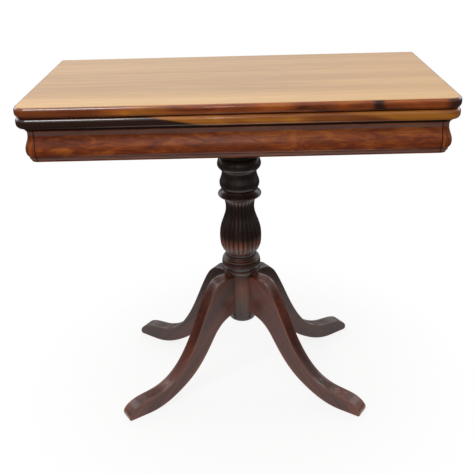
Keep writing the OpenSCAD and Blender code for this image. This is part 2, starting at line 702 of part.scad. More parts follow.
module pivot_bolt() color(steel) translate([pivot_x, pivot_y, 0]) {
    translate([0, 0, bolt_z0 + 1.5]) cylinder(h = lower_z + pivot_plate_t - bolt_z0 - 1.5, r = bolt_d / 2);
    translate([0, 0, bolt_z0]) cylinder(h = 1.5, r1 = bolt_d / 2 - 1.5, r2 = bolt_d / 2);
    translate([0, 0, lower_z + pivot_plate_t]) cylinder(h = bolt_head_h, r = bolt_head_r);
}
module pivot_washer() color(steel) translate([pivot_x, pivot_y, nut_z1]) difference() {
    cylinder(h = washer_t, r = washer_d / 2);
    translate([0, 0, -1]) cylinder(h = washer_t + 2, r = bolt_d / 2 + glue_fit);
}
module pivot_nut() color(steel) translate([pivot_x, pivot_y, nut_z1 - nut_h]) difference() {
    cylinder(h = nut_h, r = nut_flats / 2 / cos(30), $fn = 6);
    translate([0, 0, -1]) cylinder(h = nut_h + 2, r = bolt_d / 2 + glue_fit);
}
module stop_peg() color(bare_wood) peg_place() {
    translate([0, 0, lower_z - peg_drop + 1]) cylinder(h = peg_drop + peg_seat - 1, r = peg_d / 2);
    translate([0, 0, lower_z - peg_drop]) cylinder(h = 1, r1 = peg_d / 2 - 1, r2 = peg_d / 2);
}

module hinge_place(s) translate([s * hinge_x, hinge_y, hinge_z]) children();
module lower_left_hinge_plate() color(brass) hinge_place(-1) hinge_plate(0);
module lower_right_hinge_plate() color(brass) hinge_place(1) hinge_plate(0);
module upper_left_hinge_plate() color(brass) hinge_place(-1) upside_down() hinge_plate(1);
module upper_right_hinge_plate() color(brass) hinge_place(1) upside_down() hinge_plate(1);
module hinge_pins() color(brass) hinge_places()
    translate([-hinge_len / 2, 0, 0]) rotate([0, 90, 0]) cylinder(h = hinge_len, r = hinge_pin_d / 2);
module lower_hinge_screws() color(brass)
    hinge_places() hinge_screw_places() screw(small_screw_len, small_screw_r, small_head_r);
module upper_hinge_screws() color(brass)
    hinge_places() upside_down() hinge_screw_places() screw(small_screw_len, small_screw_r, small_head_r);

module upper_leaf() color(polished_top) difference() {
    translate([0, 0, upper_z]) leaf_blank();
    hinge_places() upside_down() hinge_recess();
}

front_apron();
back_apron();
left_apron();
right_apron();
front_left_corner();
front_right_corner();
glue_blocks();
glide_strips();
pivot_rail();
pivot_bush();
left_bearer();
right_bearer();
well_board();
well_ledges();
well_screws();
mounting_block();
block_screws();
column();
tenon_wedge();
column_cap();
cap_screw();
front_left_leg();
front_right_leg();
back_left_leg();
back_right_leg();
lower_leaf();
pivot_plate();
plate_screws();
pivot_bolt();
pivot_washer();
pivot_nut();
stop_peg();
lower_left_hinge_plate();
lower_right_hinge_plate();
lower_hinge_screws();
hinge_pins();
upper_leaf();
upper_left_hinge_plate();
upper_right_hinge_plate();
upper_hinge_screws();
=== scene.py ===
import json
from math import atan2, cos, pi, radians, sin

import bmesh
import bpy
from mathutils import Matrix, Vector

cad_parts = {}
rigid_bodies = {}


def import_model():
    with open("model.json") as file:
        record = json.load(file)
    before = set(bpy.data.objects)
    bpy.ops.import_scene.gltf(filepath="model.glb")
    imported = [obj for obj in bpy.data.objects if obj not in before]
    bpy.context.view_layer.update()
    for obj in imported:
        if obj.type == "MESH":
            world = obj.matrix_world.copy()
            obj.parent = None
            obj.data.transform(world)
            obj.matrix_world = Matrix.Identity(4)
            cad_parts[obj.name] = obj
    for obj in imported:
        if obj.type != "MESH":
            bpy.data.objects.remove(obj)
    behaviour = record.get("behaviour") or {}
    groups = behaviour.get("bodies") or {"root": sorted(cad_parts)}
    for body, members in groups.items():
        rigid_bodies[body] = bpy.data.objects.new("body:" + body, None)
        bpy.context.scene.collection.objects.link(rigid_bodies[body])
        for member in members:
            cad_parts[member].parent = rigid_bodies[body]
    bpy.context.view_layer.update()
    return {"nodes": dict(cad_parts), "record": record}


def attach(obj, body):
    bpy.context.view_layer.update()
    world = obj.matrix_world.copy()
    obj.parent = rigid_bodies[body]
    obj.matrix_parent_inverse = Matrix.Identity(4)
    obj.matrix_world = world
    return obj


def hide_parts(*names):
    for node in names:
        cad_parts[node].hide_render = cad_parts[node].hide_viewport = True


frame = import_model()

MM = 0.001


# Helpers

def linear(code):
    """An sRGB hex colour as the linear colour that the shaders take."""
    channels = [int(code[i:i + 2], 16) / 255 for i in (1, 3, 5)]
    return [c / 12.92 if c <= 0.04045 else ((c + 0.055) / 1.055) ** 2.4 for c in channels] + [1.0]


def add(tree, kind, inputs=None, stops=None, **settings):
    """Adds one node, sets its properties, fills or links its inputs, and sets a ramp's stops."""
    made = tree.nodes.new(kind)
    for name, value in settings.items():
        setattr(made, name, value)
    for name, value in (inputs or {}).items():
        if isinstance(value, bpy.types.NodeSocket):
            tree.links.new(value, made.inputs[name])
        else:
            made.inputs[name].default_value = value
    for i, (place, colour) in enumerate(stops or []):
        stop = made.color_ramp.elements[i] if i < 2 else made.color_ramp.elements.new(place)
        stop.position = place
        stop.color = colour
    return made


def cubic(a, b, c, d, steps):
    """Points along a cubic curve from a to d."""
    a, b, c, d = Vector(a), Vector(b), Vector(c), Vector(d)
    return [a * (1 - t) ** 3 + b * 3 * t * (1 - t) ** 2 + c * 3 * t * t * (1 - t) + d * t ** 3
            for t in (i / steps for i in range(steps + 1))]


def arc(centre, radius, start, end, steps):
    """Points along an arc, from one angle in degrees to another."""
    angles = (radians(start + (end - start) * i / steps) for i in range(steps + 1))
    return [Vector((centre[0] + radius * cos(a), centre[1] + radius * sin(a))) for a in angles]


def shade(mesh):
    """Shades a mesh smooth wherever its faces meet at less than 30 degrees."""
    mesh.shade_smooth()
    mesh.set_sharp_from_angle(angle=radians(30))


def finished(name, shape):
    """Makes a bmesh in millimetres into an object in metres."""
    shape.transform(Matrix.Scale(MM, 4))
    mesh = bpy.data.meshes.new(name)
    shape.to_mesh(mesh)
    shape.free()
    shade(mesh)
    piece = bpy.data.objects.new(name, mesh)
    bpy.context.scene.collection.objects.link(piece)
    return piece


# Camera at the photograph's viewing angle, in metres and radians, as the top's corners, the column's rings and the
# feet give it. The lens is in millimetres.

CAMERA_PLACE = (0.00707, -1.47493, 1.10928)
CAMERA_YAW, CAMERA_PITCH, CAMERA_ROLL = -0.01079, 0.45835, 0.02674
FOCAL_LENGTH, SENSOR_WIDTH = 52.64, 36

forward = Vector((sin(CAMERA_YAW) * cos(CAMERA_PITCH), cos(CAMERA_YAW) * cos(CAMERA_PITCH), -sin(CAMERA_PITCH)))
level = Vector((cos(CAMERA_YAW), -sin(CAMERA_YAW), 0))
down = forward.cross(level)
right = level * cos(CAMERA_ROLL) + down * sin(CAMERA_ROLL)
lower = down * cos(CAMERA_ROLL) - level * sin(CAMERA_ROLL)
lens = bpy.data.cameras.new("camera")
lens.lens = FOCAL_LENGTH
lens.sensor_width = SENSOR_WIDTH
lens.sensor_fit = "HORIZONTAL"
camera = bpy.data.objects.new("camera", lens)
bpy.context.scene.collection.objects.link(camera)
camera.matrix_world = Matrix.Translation(CAMERA_PLACE) @ Matrix((right, -lower, -forward)).transposed().to_4x4()
bpy.context.scene.camera = camera
bpy.context.scene.view_settings.view_transform = "Standard"


# Studio: pale floor, white sweep behind, soft light from above

CEILING_LIGHT, FILL_LIGHT, ROOM_LIGHT, WALL_LIGHT = 0.8, 0.4, 0.05, 0.4
FLOOR_RADIUS = 650

# Each lamp's name, place, the point it faces, its width and depth, all in metres, and its power in watts
LAMPS = (
    ("softbox above", (-0.3, -0.2, 2.6), (0, 0, 0.6), 1.4, 1.4, 4),
    ("softbox at front left", (-0.8, -0.95, 2.05), (-0.3, 0, 0.7), 0.75, 0.5, 12),
    ("side window left", (-1.66, 0.89, 1.3), (-0.2, -0.1, 0.1), 0.7, 1, 2.5),
    ("side window right", (1.66, 0.89, 1.3), (0.2, -0.1, 0.1), 0.7, 1, 2.5),
    ("small lamp by the camera", (-0.1, -1.9, 1.5), (0, 0, 0.5), 0.12, 0.12, 1.5)
)


def world_light():
    """A white sweep behind the table and a dim room in front of it, as reflections show them, and an even fill with a
    lighter ceiling and back for everything else. The camera sees white."""
    world = bpy.data.worlds.new("studio")
    world.use_nodes = True
    bpy.context.scene.world = world
    tree = world.node_tree
    tree.nodes.clear()
    towards = add(tree, "ShaderNodeTexCoord").outputs["Generated"]
    part = add(tree, "ShaderNodeSeparateXYZ", {"Vector": towards})
    height, back = part.outputs["Z"], part.outputs["Y"]
    behind, above_floor, room, ceiling, far_side = (
        add(tree, "ShaderNodeMapRange", {"Value": value, "From Min": start, "From Max": end, "To Min": low,
                                         "To Max": high}, interpolation_type="SMOOTHSTEP").outputs["Result"]
        for value, start, end, low, high in (
            (back, -0.1, 0.4, 0, 1), (height, -0.06, 0.22, 0, 1), (height, 0.05, 0.4, ROOM_LIGHT, WALL_LIGHT),
            (height, 0.34, 0.52, FILL_LIGHT, CEILING_LIGHT), (back, 0.22, 0.46, FILL_LIGHT, 1)))
    sweep = add(tree, "ShaderNodeMath", {0: behind, 1: above_floor}, operation="MULTIPLY").outputs[0]
    gloss = add(tree, "ShaderNodeMath", {0: sweep, 1: room}, operation="MAXIMUM").outputs[0]
    fill = add(tree, "ShaderNodeMath", {0: ceiling, 1: far_side}, operation="MAXIMUM").outputs[0]
    path = add(tree, "ShaderNodeLightPath")
    light = add(tree, "ShaderNodeMix", {0: path.outputs["Is Glossy Ray"], 2: fill, 3: gloss}).outputs[0]
    strength = add(tree, "ShaderNodeMix", {0: path.outputs["Is Camera Ray"], 2: light, 3: 1.0}).outputs[0]
    studio = add(tree, "ShaderNodeBackground", {"Color": (1, 1, 1, 1), "Strength": strength})
    add(tree, "ShaderNodeOutputWorld", {"Surface": studio.outputs[0]})


def pale_floor():
    """A round pale floor that fades to white for the camera and to dark in the varnish's reflections towards its
    edge, since the table reflects a lit floor only close by. It is clear from below."""
    shape = bmesh.new()
    bmesh.ops.create_circle(shape, cap_ends=True, segments=96, radius=FLOOR_RADIUS)
    floor = finished("floor", shape)
    material = bpy.data.materials.new("pale studio floor")
    material.use_nodes = True
    tree = material.node_tree
    tree.nodes.clear()
    place = add(tree, "ShaderNodeTexCoord").outputs["Object"]
    away = add(tree, "ShaderNodeVectorMath", {0: place}, operation="LENGTH").outputs["Value"]
    path = add(tree, "ShaderNodeLightPath")
    fades = []
    for ray, end, low, high in (("Is Camera Ray", FLOOR_RADIUS * MM, 0.84, 1), ("Is Glossy Ray", 0.6, 0.65, 0),
                                ("Is Glossy Ray", 0.6, 0, 1)):
        fade = add(tree, "ShaderNodeMapRange", {"Value": away, "From Min": 0.3, "From Max": end, "To Min": low,
                                                "To Max": high}, interpolation_type="SMOOTHSTEP").outputs["Result"]
        fades.append(add(tree, "ShaderNodeMath", {0: fade, 1: path.outputs[ray]}, operation="MULTIPLY").outputs[0])
    seen, mirrored, far = fades
    lit = add(tree, "ShaderNodeMath", {0: seen, 1: mirrored}, operation="MAXIMUM").outputs[0]
    paint = add(tree, "ShaderNodeBsdfDiffuse", {"Color": linear("#EFEEEC")})
    dark = add(tree, "ShaderNodeBsdfDiffuse", {"Color": linear("#303030")})
    plain = add(tree, "ShaderNodeMixShader", {0: far, 1: paint.outputs[0], 2: dark.outputs[0]})
    white = add(tree, "ShaderNodeEmission", {"Color": (1, 1, 1, 1), "Strength": 1.0})
    mixed = add(tree, "ShaderNodeMixShader", {0: lit, 1: plain.outputs[0], 2: white.outputs[0]})
    below = add(tree, "ShaderNodeNewGeometry").outputs["Backfacing"]
    clear = add(tree, "ShaderNodeBsdfTransparent")
    faced = add(tree, "ShaderNodeMixShader", {0: below, 1: mixed.outputs[0], 2: clear.outputs[0]})
    add(tree, "ShaderNodeOutputMaterial", {"Surface": faced.outputs[0]})
    floor.data.materials.append(material)


def lamp(name, place, aim, width, depth, power):
    """A soft lamp that faces a point, its width kept level."""
    light = bpy.data.lights.new(name, "AREA")
    light.shape = "RECTANGLE"
    light.size = width
    light.size_y = depth
    light.energy = power
    made = bpy.data.objects.new(name, light)
    bpy.context.scene.collection.objects.link(made)
    made.matrix_world = Matrix.LocRotScale(Vector(place), (Vector(aim) - Vector(place)).to_track_quat("-Z", "Y"), None)


world_light()
pale_floor()
for row in LAMPS:
    lamp(*row)


# Shapes, in millimetres, with the same main sizes as the part's source

def drawn_out(shape, face, first):
    """Extrudes a face and returns its copy. The face itself stays where it is the shape's first end, and goes where it
    would be left inside."""
    made = bmesh.ops.extrude_face_region(shape, geom=[face])["geom"]
    if not first:
        bmesh.ops.delete(shape, geom=[face], context="FACES_ONLY")
    return next(item for item in made if isinstance(item, bmesh.types.BMFace))


def swept(points, places):
    """Sweeps a flat outline, given as points in space, through matrices that put it at each place in turn."""
    shape = bmesh.new()
    face = shape.faces.new([shape.verts.new(p) for p in points])
    bmesh.ops.transform(shape, matrix=places[0], verts=face.verts)
    for before, after in zip(places, places[1:]):
        face = drawn_out(shape, face, before is places[0])
        bmesh.ops.transform(shape, matrix=after @ before.inverted(), verts=face.verts)
    bmesh.ops.recalc_face_normals(shape, faces=shape.faces)
    return shape


def turned(profile, steps):
    """Turns a profile of radius and height about the column's axis."""
    shape = bmesh.new()
    points = [shape.verts.new((r, 0, z)) for r, z in profile]
    edges = [shape.edges.new(pair) for pair in zip(points, points[1:])]
    bmesh.ops.spin(shape, geom=points + edges, axis=(0, 0, 1), cent=(0, 0, 0), angle=2 * pi, steps=steps,
                   use_merge=True)
    bmesh.ops.remove_doubles(shape, verts=shape.verts, dist=0.001)
    bmesh.ops.recalc_face_normals(shape, faces=shape.faces)
    return shape


def cut(piece, boxes):
    """Cuts boxes, each given by its lowest and highest corner, out of a piece."""
    blocks = bmesh.new()
    for low, high in boxes:
        low, high = Vector(low), Vector(high)
        bmesh.ops.create_cube(blocks, size=1, matrix=Matrix.LocRotScale((low + high) / 2, None, high - low))
    cutter = finished("cutter", blocks)
    trim = piece.modifiers.new("cut", "BOOLEAN")
    trim.object = cutter
    trim.solver = "EXACT"
    mesh = bpy.data.meshes.new_from_object(piece.evaluated_get(bpy.context.evaluated_depsgraph_get()))
    piece.modifiers.clear()
    piece.data = mesh
    bpy.data.objects.remove(cutter)
    shade(mesh)


def placed(piece, node, material):
    """Hides the CAD node a piece stands in for, puts the piece on that node's body, and gives it its finish."""
    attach(piece, frame["nodes"][node].parent.name.split(":")[1])
    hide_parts(node)
    piece.data.materials.append(material)


# Turned column: heights above the floor, then radii and the tenon's height, then the reeds and the lengths over which
# they die out

HUB_LOW, HUB_TOP, VASE_LOW, VASE_TOP, CUP_LOW, CUP_TOP, BLOCK_LOW = 180, 298, 345, 490.5, 508, 556, 615.9
HUB_R, VASE_R, TENON_R, TENON_H = 35, 49, 19, 33.6
REEDS, REED_STEPS, REED_DEPTH = 26, 12, 2.4
REED_FADE_LOW, REED_FADE_TOP = 7, 4


def column_profile():
    """The column's outline, as radius and height, from the hub's lower end to the top of its tenon."""
    collar, vase, ring, cup, top, block = HUB_TOP, VASE_LOW, VASE_TOP, CUP_LOW, CUP_TOP, BLOCK_LOW
    return [
        # plain hub, with two rings more that carry its worn varnish and painted sheen
        Vector((0, HUB_LOW)), Vector((HUB_R, HUB_LOW)), Vector((HUB_R, 220)), Vector((HUB_R, 260)),
        Vector((HUB_R, collar)),
        # collar: a bead under a swell, and three beads that step in above it
        Vector((41.2, collar)), *arc((41.6, collar + 1.6), 1.6, -80, -10, 4),
        *cubic((43.6, collar + 2.4), (45.6, collar + 4), (46, collar + 10), (44.8, collar + 11.6), 8),
        *arc((45, collar + 12.8), 0.9, 250, 110, 4),
        *cubic((44.6, collar + 13.8), (46.3, collar + 17), (46.3, collar + 26.4), (45, collar + 29), 10),
        Vector((44.1, collar + 29.4)), Vector((43.9, collar + 30.2)), *arc((42.2, collar + 32.2), 1.9, -60, 80, 6),
        Vector((40.9, collar + 34.3)), *arc((38.6, collar + 36.4), 1.8, -60, 80, 6),
        Vector((37.8, collar + 38.4)), *arc((36.2, collar + 40.3), 1.6, -60, 80, 6),
        # vase, from its foot over its belly to its neck
        *cubic((36.5, collar + 42.6), (35.9, collar + 46), (36.2, vase + 3), (38.6, vase + 6), 8),
        *cubic((38.6, vase + 6), (43.6, vase + 11.5), (47.1, vase + 19), (48.1, vase + 29), 14)[1:],
        *cubic((48.1, vase + 29), (48.7, vase + 34), (49.1, vase + 41), (VASE_R, vase + 48), 8)[1:],
        *cubic((VASE_R, vase + 48), (48.6, vase + 63), (44.6, vase + 75), (39.4, vase + 89), 12)[1:],
        *cubic((39.4, vase + 89), (35.7, vase + 99), (33.2, vase + 107), (33.2, vase + 118), 8)[1:],
        *cubic((33.2, vase + 118), (33.2, vase + 128), (35, vase + 137), (39, vase + 142.5), 12)[1:],
        # lower ring
        *cubic((39, ring - 3), (41.4, ring - 1.4), (43.6, ring - 0.2), (46.6, ring + 1.4), 5)[1:],
        *cubic((46.6, ring + 1.4), (49.2, ring + 2.2), (50.4, ring + 4), (49.7, ring + 6), 7)[1:],
        *cubic((49.7, ring + 6), (48.4, ring + 8.4), (43.4, ring + 11.6), (40.6, ring + 16), 10)[1:],
        Vector((40.2, cup - 0.9)), Vector((40.2, cup + 0.3)),
        # cup
        *cubic((40.8, cup + 1), (44, cup + 5), (46.8, cup + 12), (45.3, cup + 19), 12),
        *cubic((45.3, cup + 19), (43.6, cup + 26), (39.6, cup + 33), (39.6, cup + 42), 10)[1:],
        # upper ring and the bead on it
        *cubic((39.6, cup + 42), (39.6, top - 2), (41, top - 0.4), (43.8, top + 1.3), 7)[1:],
        *cubic((43.8, top + 1.3), (47.2, top + 3.8), (50.1, top + 8), (49.8, top + 12.6), 9)[1:],
        *cubic((49.8, top + 12.6), (49.3, top + 18), (47, top + 24), (44.2, top + 27.4), 10)[1:],
        Vector((43, top + 28.4)), *arc((39.6, top + 30.4), 1.6, -60, -180, 5),
        # neck, flared out under the block, and the tenon in the block
        Vector((38, block - 14)), *cubic((38, block - 14), (38, block - 8), (42, block - 4), (48, block - 3), 8)[1:],
        Vector((48, block)), Vector((TENON_R, block)), Vector((TENON_R, block + TENON_H)),
        Vector((0, block + TENON_H))
    ]


# Height, reach up and down, and strength of the column's bands of worn varnish with painted highlights
WORN_AND_LIT_BANDS = ((376, 22, 1.9), (358, 12, 1), (479, 10, 0.6), (307, 3, 0.7), (322, 5, 0.5), (331, 2, 0.8), (335, 2, 0.8),
              # The bands at the beads, the reed crests and the hub are painted highlights and reflections as much as
              # wear
              (339, 2, 0.6), (495, 2, 0.6), (568, 3, 0.4), (252, 60, 1.1))


def cut_reeds(shape):
    """Presses the grooves between the reeds into the vase: rounded reeds that die out 9 mm above its foot and 3.5 mm
    under its ring. It also keeps the share of varnish wear and painted highlight, which is less in the grooves."""
    first, last = VASE_LOW + 9, VASE_TOP - 3.5
    rubbed = shape.verts.layers.float.new("rubbed")
    for vert in shape.verts:
        x, y, z = vert.co
        radius = (x * x + y * y) ** 0.5
        vert[rubbed] = max(share * max(0, 1 - abs(z - height) / reach) for height, reach, share in WORN_AND_LIT_BANDS)
        if not first < z < last:
            continue
        across = abs(2 * ((atan2(y, x) / (2 * pi) * REEDS) % 1) - 1)
        fade = min(1, (z - first) / REED_FADE_LOW, (last - z) / REED_FADE_TOP)
        depth = REED_DEPTH * (radius / VASE_R) ** 0.5 * across ** 3 * (1 - (1 - fade) ** 2) ** 0.5
        vert.co.x -= x / radius * depth
        vert.co.y -= y / radius * depth
        vert[rubbed] *= 1 - across ** 2


# Column cap: a shallow turned bowl with a countersunk hole for its screw

CAP_LOW, CAP_R = 162, 33.5
HOLE_R, SINK_R, SINK_DEPTH = 2.8, 5.4, 2.7


def cap_profile():
    """The cap's closed outline, as radius and height, round its screw hole."""
    return [
        Vector((HOLE_R, HUB_LOW)), Vector((CAP_R, HUB_LOW)), Vector((CAP_R, CAP_LOW + 9)),
        *cubic((CAP_R, CAP_LOW + 9), (CAP_R, CAP_LOW + 3), (CAP_R - 5, CAP_LOW), (CAP_R - 10, CAP_LOW), 10)[1:],
        Vector((SINK_R, CAP_LOW)), Vector((HOLE_R, CAP_LOW + SINK_DEPTH)), Vector((HOLE_R, HUB_LOW))
    ]


# Sabre legs. Distances out are from the column's axis, and LEG_ANGLE is measured from the table's long side. The
# reeding starts outside the hub, over 6 mm, and ends before the toe, over 10 mm.

LEG_T, LEG_ROOT, LEG_TOP, LEG_REACH, LEG_ANGLE = 33, 24, 289, 336, 33.7
REED_BAND, REED_COUNT, REEDED_FROM, REEDED_TO = 8.4, 7, 48, 286
ROUNDED_FROM, WORN_FROM, TOE_FROM = 30, 60, 300

# A leg is sawn so that the grain runs down it, and each leg from another stretch of the board
GRAIN_FALL, BOARD_SHIFT = 46, 900


def leg_side():
    """Side view of a leg, from its root's top over the knee to the toe and back under: distance out, height."""
    knee, shin, instep, toe = (92, 263), (176, 98), (263, 41), (314, 32)
    calf, arch = (170, 46), (98, 136)
    upper = [
        *cubic((LEG_ROOT, LEG_TOP), (36, LEG_TOP), (46, LEG_TOP), (57, 288.5), 6),
        *cubic((57, 288.5), (72, 288), (82, 280), knee, 10)[1:],
        *cubic(knee, (120, 213), (138, 150), shin, 18)[1:],
        *cubic(shin, (197, 69), (225, 46), instep, 14)[1:],
        *cubic(instep, (282, 38.5), (300, 38), toe, 8)[1:]
    ]
    under = [
        *cubic(toe, (326, 26.5), (333, 20), (LEG_REACH, 12), 8)[1:],
        *cubic((LEG_REACH, 12), (337, 5), (LEG_REACH, 0), (330, 0), 6)[1:], Vector((307, 0)),
        *cubic((284, 0), (244, 0), (208, 18), calf, 16),
        *cubic(calf, (137, 72), (117, 104), arch, 12)[1:],
        *cubic(arch, (84, 160), (66, 184), (32, 190), 12)[1:], Vector((LEG_ROOT, 190))
    ]
    return upper, under


def slices():
    """Distances across a leg's thickness, with the reeding's depth and the arris's rounding there."""
    side = [(-LEG_T / 2 + y, 0, inset) for y, inset in ((0, 0.7), (0.1, 0.4), (0.3, 0.15), (0.7, 0), (1.2, 0))]
    side += [(-REED_BAND - 0.7, 0, 0), (-REED_BAND - 0.5, 0.4, 0)]
    pitch = 2 * REED_BAND / REED_COUNT
    reeds = [(-REED_BAND + (i + across) * pitch, depth, 0) for i in range(REED_COUNT)
             for across, depth in ((0, 0.5), (0.1, 0.24), (0.28, 0.06), (0.5, 0), (0.72, 0.06), (0.9, 0.24))]
    return side + reeds + [(REED_BAND, 0.5, 0)] + [(-y, depth, inset) for y, depth, inset in reversed(side)]


def leg(turn):
    """A leg on edge, built up in slices, with a reeded back and softened arrises, turned to its place. It keeps its
    place on the board it is sawn from, a little painted sheen on the reeded back, and how far its varnish wears: more
    on the toe and most on the arrises."""
    upper, under = leg_side()
    outline = upper + under
    inward, reeded = [], []
    for i, point in enumerate(outline):
        run = outline[(i + 1) % len(outline)] - outline[i - 1]
        inward.append(Vector((run.y, -run.x)).normalized())
        share = min(1, (point.x - REEDED_FROM) / 6, (REEDED_TO - point.x) / 10)
        reeded.append(max(0, share) if i < len(upper) else 0)
    shape = bmesh.new()
    order = shape.verts.layers.int.new("order")
    rubbed = shape.verts.layers.float.new("rubbed")
    board = shape.verts.layers.float_vector.new("board")
    face = shape.faces.new([shape.verts.new() for _ in outline])
    for i, vert in enumerate(face.verts):
        vert[order] = i
    for k, (y, depth, inset) in enumerate(slices()):
        if k:
            face = drawn_out(shape, face, k == 1)
        for vert in face.verts:
            i = vert[order]
            place = outline[i] + inward[i] * (depth * reeded[i] + inset * (outline[i].x > ROUNDED_FROM))
            vert.co = (place.x, y, place.y)
            # A little painted sheen along the reeded back
            vert[rubbed] = 0.12 * reeded[i]
    shape.verts.layers.int.remove(order)
    bmesh.ops.recalc_face_normals(shape, faces=shape.faces)
    # The first border on each side carries the rubbed arris, and the second keeps the rubbing narrow
    sides = [f for f in shape.faces if len(f.verts) > 4]
    bmesh.ops.inset_individual(shape, faces=sides, thickness=0.8)
    arrises = {vert for vert in shape.verts if abs(vert.co.y) > LEG_T / 2 - 1 and vert.co.x > WORN_FROM}
    bmesh.ops.inset_individual(shape, faces=sides, thickness=3)
    along_board = Matrix.Rotation(radians(-GRAIN_FALL), 3, "Y")
    for vert in shape.verts:
        toe = 0.6 * max(0, (vert.co.x - TOE_FROM) / (LEG_REACH - TOE_FROM))
        vert[rubbed] = 1 if vert in arrises else max(toe, vert[rubbed])
        vert[board] = (along_board @ vert.co + Vector((BOARD_SHIFT * turn, 0, 0))) * MM
    bmesh.ops.rotate(shape, verts=shape.verts, cent=(0, 0, 0), matrix=Matrix.Rotation(turn, 3, "Z"))
    return shape


# Apron moulding. Distances out are from its waist, the hollow under its lip. A corner's sides close on a thin core.

FRAME_LOW, APRON_H, APRON_T = 649.9, 68, 16
WAIST_X, WAIST_Y = 408, 195.5
INNER_X, INNER_Y = WAIST_X - APRON_T, WAIST_Y - APRON_T
CORNER_CORE, CORNER_STEPS = 0.02, 24


def moulding():
    """The moulding's face, upwards: distance out from the waist, height above the apron's lower edge."""
    return [
        Vector((-1.6, 0)), *arc((-1, 7.2), 3.4, -80, 80, 14), Vector((0.5, 10.6)),
        *cubic((4, 11), (6.8, 13.5), (8, 17), (8, 22), 12),
        *cubic((8, 22), (8, 34), (0, 41), (0, 54), 18)[1:],
        *cubic((0, 54), (0, 60), (1.2, 62.5), (4, 64), 8)[1:], Vector((4, APRON_H))
    ]


def straight_apron(low, high, turn, waist):
    """A length of the moulding along X, turned about the upright axis to its side of the frame."""
    section = [Vector((0, -waist + APRON_T, 0)), *(Vector((0, -waist - p.x, p.y)) for p in moulding()),
               Vector((0, -waist + APRON_T, APRON_H))]
    lift = Matrix.Rotation(turn, 4, "Z") @ Matrix.Translation((0, 0, FRAME_LOW))
    return swept(section, [lift @ Matrix.Translation((x, 0, 0)) for x in (low, high)])


def apron_corner(side):
    """A quarter-round corner turned to the same moulding."""
    section = [Vector((CORNER_CORE, 0, 0)), *(Vector((APRON_T + p.x, 0, p.y)) for p in moulding()),
               Vector((CORNER_CORE, 0, APRON_H))]
    start = -90 if side > 0 else 180
    steps = [Matrix.Rotation(radians(start + 90 * i / CORNER_STEPS), 4, "Z") for i in range(CORNER_STEPS + 1)]
    centre = Matrix.Translation((side * INNER_X, -INNER_Y, FRAME_LOW))
    return swept(section, [centre @ turn for turn in steps])


# Leaves of the top

LEAF_W, LEAF_D, LEAF_T, LEAF_EDGE, LEAF_CORNER = 850, 425, 21, 8, 28
LOWER_Z, UPPER_Z = 719.6, 741
HINGE_X, HINGE_Y, HINGE_Z = 315, 212.8, 740.8


def leaf(low):
    """A leaf with rounded front corners and rounded edges, square along its hinged back edge. A narrow border round
    its faces keeps them flat under smooth shading."""
    w, d, r = LEAF_W / 2, LEAF_D / 2, LEAF_CORNER
    plan = [Vector((w, d)), Vector((-w, d)), *arc((-w + r, -d + r), r, 180, 270, 14),
            *arc((w - r, -d + r), r, 270, 360, 14)]
    shape = swept([Vector((*p, 0)) for p in plan], [Matrix.Translation((0, 0, z)) for z in (low, low + LEAF_T)])
    rims = [e for e in shape.edges
            if abs(e.verts[0].co.z - e.verts[1].co.z) < 0.01 and min(v.co.y for v in e.verts) < d - 0.1]
    bmesh.ops.bevel(shape, geom=rims, offset=LEAF_EDGE, offset_type="OFFSET", segments=10, profile=0.5,
                    affect="EDGES", material=-1, clamp_overlap=False)
    faces = [f for f in shape.faces if abs(f.normal.z) > 0.999]
    bmesh.ops.inset_individual(shape, faces=faces, thickness=1)
    return shape


# Materials. Sizes of grain and marks are in mm.

# Widths of a wood's broad streaks, fine streaks and pores, and how many times as long as wide they are. Real mahogany
# pores are 0.2 mm wide, and are drawn coarser so that they show.
BOARD_GRAIN = (26, 2.4, 0.7), (14, 70, 18)
LEAF_GRAIN = (34, 2.6, 0.9), (16, 110, 26)

# The leaning curl in the apron's figure, and the cloudy patches on the leaves' edges
CURL_LENGTH, CURL_WIDTH = 66.67, 19.23
PATCH_LENGTH, PATCH_WIDTH = 111.11, 38.46

# Depth of open grain, of which each finish leaves a small share, and size of the dull spots on brass and steel
GRAIN_DEPTH, DULL_SPOT = 0.3, 6.25

# Felt's fibres, really 0.03 mm thick and drawn coarser so that they show, and the depth of its nap
FIBRE, NAP = 1.2, 0.6

# Heights of the painted reflections on the apron's lip and bead and of the painted shadow under the leaf, and half
# the width of its joints
LIP_Z, BEAD_Z, LEAF_SHADOW_Z, JOINT = 707.5, 656.2, 717, 1

# How upright a leaf's normal is where its rounded edge starts, and where the edge's own finish is full
FLAT, ROUNDED = 0.98, 0.84


def cells(*sizes):
    """Noise scales along the three axes for cells of these sizes."""
    return [1 / (size * MM) for size in sizes]


def new_finish(name, values):
    """A new material, its tree and its shader, with the shader's plain values set by name."""
    material = bpy.data.materials.new(name)
    material.use_nodes = True
    shader = material.node_tree.nodes["Principled BSDF"]
    for socket, value in values.items():
        shader.inputs[socket].default_value = value
    return material, material.node_tree, shader


def surface(tree, shader, colour, height, strength, depth):
    """Gives a shader its colour and its relief, whose depth is in mm."""
    bump = add(tree, "ShaderNodeBump", {"Height": height, "Strength": strength, "Distance": depth * MM})
    tree.links.new(colour, shader.inputs["Base Color"])
    tree.links.new(bump.outputs[0], shader.inputs["Normal"])


def near(tree, value, place, inside, outside, strength=1.0):
    """A mark's strength within a distance of a place along one axis, falling to 0 at a larger one."""
    off = add(tree, "ShaderNodeMath", {0: value, 1: place * MM}, operation="SUBTRACT").outputs[0]
    size = add(tree, "ShaderNodeMath", {0: off}, operation="ABSOLUTE").outputs[0]
    return add(tree, "ShaderNodeMapRange", {"Value": size, "From Min": inside * MM, "From Max": outside * MM,
                                            "To Min": strength, "To Max": 0.0},
               interpolation_type="SMOOTHSTEP").outputs[0]


def layered(tree, colour, layers):
    """Lays colours over one, each by its own share."""
    for share, over in layers:
        colour = add(tree, "ShaderNodeMix", {0: share, 6: colour, 7: over}, data_type="RGBA").outputs[2]
    return colour


